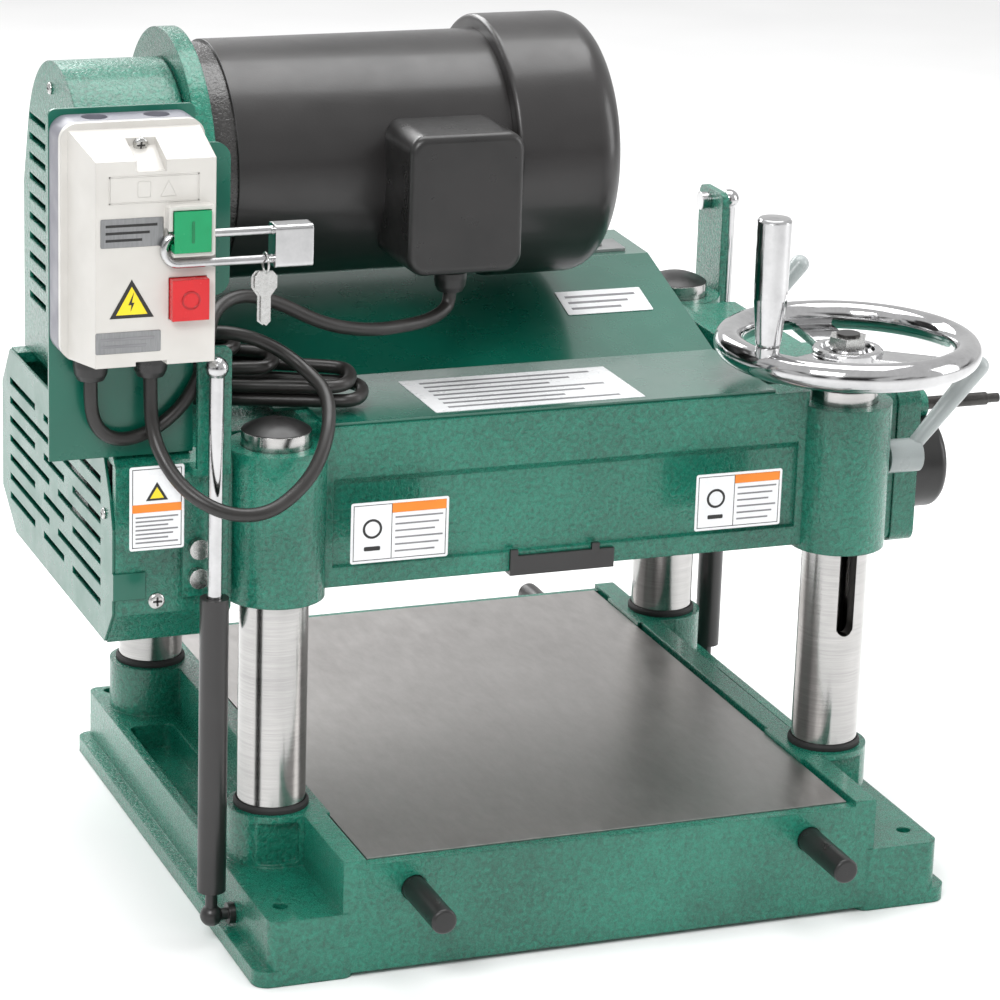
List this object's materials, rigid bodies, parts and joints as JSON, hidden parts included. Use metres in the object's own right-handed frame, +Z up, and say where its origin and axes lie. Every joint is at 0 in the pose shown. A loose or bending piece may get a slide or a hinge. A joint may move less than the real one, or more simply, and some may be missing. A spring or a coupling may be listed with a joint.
{
  "type": "thickness planer",
  "caption": "Fixed-table thickness planer: motorised headstock rides on round columns over a cast table, with handwheel lift, belt guards, gas struts and magnetic switch.",
  "frame": {"origin": "on the floor, on the centre plane between the left and right columns, at the middle of the base's four bolt holes", "axes": "+X to the operator's right along the table's width, +Y the way the stock is fed, +Z up"},
  "size_m": [0.7985, 0.6465, 0.631],
  "materials": {
    "cast_green": "hammered gloss",
    "sheet_green": "semi-gloss",
    "ground_iron": "ground",
    "column_steel": "ground and polished",
    "dark_steel": "black oxide",
    "bright_steel": "zinc plated",
    "wheel_chrome": "polished",
    "motor_black": "satin",
    "black_plastic": "satin",
    "switch_white": "semi-gloss",
    "switch_grey": "satin",
    "button_green": "semi-gloss",
    "button_red": "semi-gloss",
    "lever_silver": "silver paint",
    "cord_rubber": "satin",
    "belt_rubber": "matte",
    "strip_grey": "satin"
  },
  "bodies": {
    "base": {"base_casting": "cast_green", "table": "ground_iron", "column_fl": "column_steel", "column_fr": "column_steel", "column_rl": "column_steel", "column_rr": "column_steel", "column_seals": "belt_rubber", "column_caps": "black_plastic", "column_collar": "dark_steel", "strut_cylinders": "motor_black", "lift_chain": "dark_steel"},
    "headstock": {"headstock_casting": "cast_green", "depth_limiter": "motor_black", "top_cover": "sheet_green", "cover_strip": "strip_grey", "breaker_and_pressure_bar": "ground_iron", "motor_plate": "cast_green", "motor_end_bell": "motor_black", "motor_body": "motor_black", "motor_fan_cover": "motor_black", "junction_box": "black_plastic", "drive_belts": "belt_rubber", "lower_belt_guard": "sheet_green", "upper_belt_guard": "cast_green", "gearbox": "cast_green", "gearbox_cover": "cast_green", "gearbox_cap": "black_plastic", "strut_rods": "wheel_chrome", "strut_brackets": "cast_green", "bracket_bolts": "bright_steel", "switch_plate": "sheet_green", "switch_base": "switch_grey", "switch_cover": "switch_white", "cord_glands": "black_plastic", "motor_cord": "cord_rubber", "power_cord": "cord_rubber", "power_cord_coil": "cord_rubber"},
    "handwheel": {"handwheel": "wheel_chrome", "handwheel_nut": "bright_steel", "lead_screw_fr": "dark_steel"},
    "handle": {"handwheel_handle": "wheel_chrome"},
    "screw_fl": {"lead_screw_fl": "dark_steel"},
    "screw_rl": {"lead_screw_rl": "dark_steel"},
    "screw_rr": {"lead_screw_rr": "dark_steel"},
    "rotor": {"motor_rotor": "ground_iron"},
    "cutter": {"cutterhead": "bright_steel"},
    "infeed": {"infeed_roller": "bright_steel"},
    "outfeed": {"outfeed_roller": "bright_steel"},
    "fingers": {"kickback_fingers": "dark_steel"},
    "shifter": {"feed_shaft": "dark_steel"},
    "lever_front": {"lock_lever_front": "lever_silver"},
    "lever_rear": {"lock_lever_rear": "lever_silver"},
    "start": {"start_button": "button_green"},
    "stop": {"stop_button": "button_red"},
    "bar_front_left": {"lift_bar_front_left": "dark_steel"},
    "bar_front_right": {"lift_bar_front_right": "dark_steel"},
    "bar_rear_left": {"lift_bar_rear_left": "dark_steel"},
    "bar_rear_right": {"lift_bar_rear_right": "dark_steel"},
    "lock": {"padlock": "wheel_chrome"},
    "keys": {"padlock_keys": "bright_steel"}
  },
  "joints": [
    {"name": "head_lift", "type": "slide", "parent": "base", "child": "headstock", "axis": [0, 0, 1], "range_m": [-0.158, 0]},
    {"name": "wheel_turn", "type": "hinge", "parent": "base", "child": "handwheel", "pos_m": [0.226, -0.13025, 0.409], "axis": [0, 0, 1], "range_deg": [0, 14400]},
    {"name": "handle_spin", "type": "hinge", "parent": "handwheel", "child": "handle", "pos_m": [0.14269, -0.16561, 0.424], "axis": [0, 0, 1], "continuous": true},
    {"name": "screw_fl_turn", "type": "hinge", "parent": "base", "child": "screw_fl", "pos_m": [-0.226, -0.13025, 0.1], "axis": [0, 0, 1], "range_deg": [0, 14400]},
    {"name": "screw_rl_turn", "type": "hinge", "parent": "base", "child": "screw_rl", "pos_m": [-0.226, 0.19275, 0.1], "axis": [0, 0, 1], "range_deg": [0, 14400]},
    {"name": "screw_rr_turn", "type": "hinge", "parent": "base", "child": "screw_rr", "pos_m": [0.226, 0.19275, 0.1], "axis": [0, 0, 1], "range_deg": [0, 14400]},
    {"name": "cutter_spin", "type": "hinge", "parent": "headstock", "child": "cutter", "pos_m": [0, 0.02125, 0.2915], "axis": [1, 0, 0], "continuous": true},
    {"name": "rotor_spin", "type": "hinge", "parent": "headstock", "child": "rotor", "pos_m": [0, 0.07475, 0.53], "axis": [1, 0, 0], "continuous": true},
    {"name": "infeed_spin", "type": "hinge", "parent": "headstock", "child": "infeed", "pos_m": [0, -0.05375, 0.281], "axis": [1, 0, 0], "continuous": true},
    {"name": "outfeed_spin", "type": "hinge", "parent": "headstock", "child": "outfeed", "pos_m": [0, 0.10325, 0.281], "axis": [1, 0, 0], "continuous": true},
    {"name": "finger_swing", "type": "hinge", "parent": "headstock", "child": "fingers", "pos_m": [0, -0.10275, 0.298], "axis": [1, 0, 0], "range_deg": [0, 22]},
    {"name": "feed_shift", "type": "slide", "parent": "headstock", "child": "shifter", "axis": [1, 0, 0], "range_m": [-0.012, 0.012]},
    {"name": "lever_front_turn", "type": "hinge", "parent": "headstock", "child": "lever_front", "pos_m": [0.277, -0.13025, 0.318], "axis": [1, 0, 0], "range_deg": [0, 60]},
    {"name": "lever_rear_turn", "type": "hinge", "parent": "headstock", "child": "lever_rear", "pos_m": [0.277, 0.19275, 0.318], "axis": [1, 0, 0], "range_deg": [0, 60]},
    {"name": "start_press", "type": "slide", "parent": "headstock", "child": "start", "axis": [0, 1, 0], "range_m": [0, 0.003], "stiffness_N_per_m": 900},
    {"name": "stop_press", "type": "slide", "parent": "headstock", "child": "stop", "axis": [0, 1, 0], "range_m": [0, 0.004], "stiffness_N_per_m": 900},
    {"name": "bar_front_left_slide", "type": "slide", "parent": "base", "child": "bar_front_left", "axis": [0, 1, 0], "range_m": [0, 0.055]},
    {"name": "bar_front_right_slide", "type": "slide", "parent": "base", "child": "bar_front_right", "axis": [0, 1, 0], "range_m": [0, 0.055]},
    {"name": "bar_rear_left_slide", "type": "slide", "parent": "base", "child": "bar_rear_left", "axis": [0, -1, 0], "range_m": [0, 0.055]},
    {"name": "bar_rear_right_slide", "type": "slide", "parent": "base", "child": "bar_rear_right", "axis": [0, -1, 0], "range_m": [0, 0.055]},
    {"name": "lock_swing", "type": "hinge", "parent": "headstock", "child": "lock", "pos_m": [-0.2435, -0.21235, 0.5464], "axis": [1, 0, 0], "range_deg": [-100, 0]},
    {"name": "keys_swing", "type": "hinge", "parent": "lock", "child": "keys", "pos_m": [-0.2623, -0.21235, 0.5261], "axis": [1, 0, 0], "range_deg": [-25, 25]}
  ],
  "couplings": [
    {"joint": "wheel_turn", "follows": "head_lift", "rad_per_m": -1570.8},
    {"joint": "screw_fl_turn", "follows": "head_lift", "rad_per_m": -1570.8},
    {"joint": "screw_rl_turn", "follows": "head_lift", "rad_per_m": -1570.8},
    {"joint": "screw_rr_turn", "follows": "head_lift", "rad_per_m": -1570.8},
    {"joint": "rotor_spin", "follows": "cutter_spin", "ratio": 0.68919},
    {"joint": "infeed_spin", "follows": "cutter_spin", "ratio": -0.00555},
    {"joint": "outfeed_spin", "follows": "cutter_spin", "ratio": -0.00555}
  ]
}
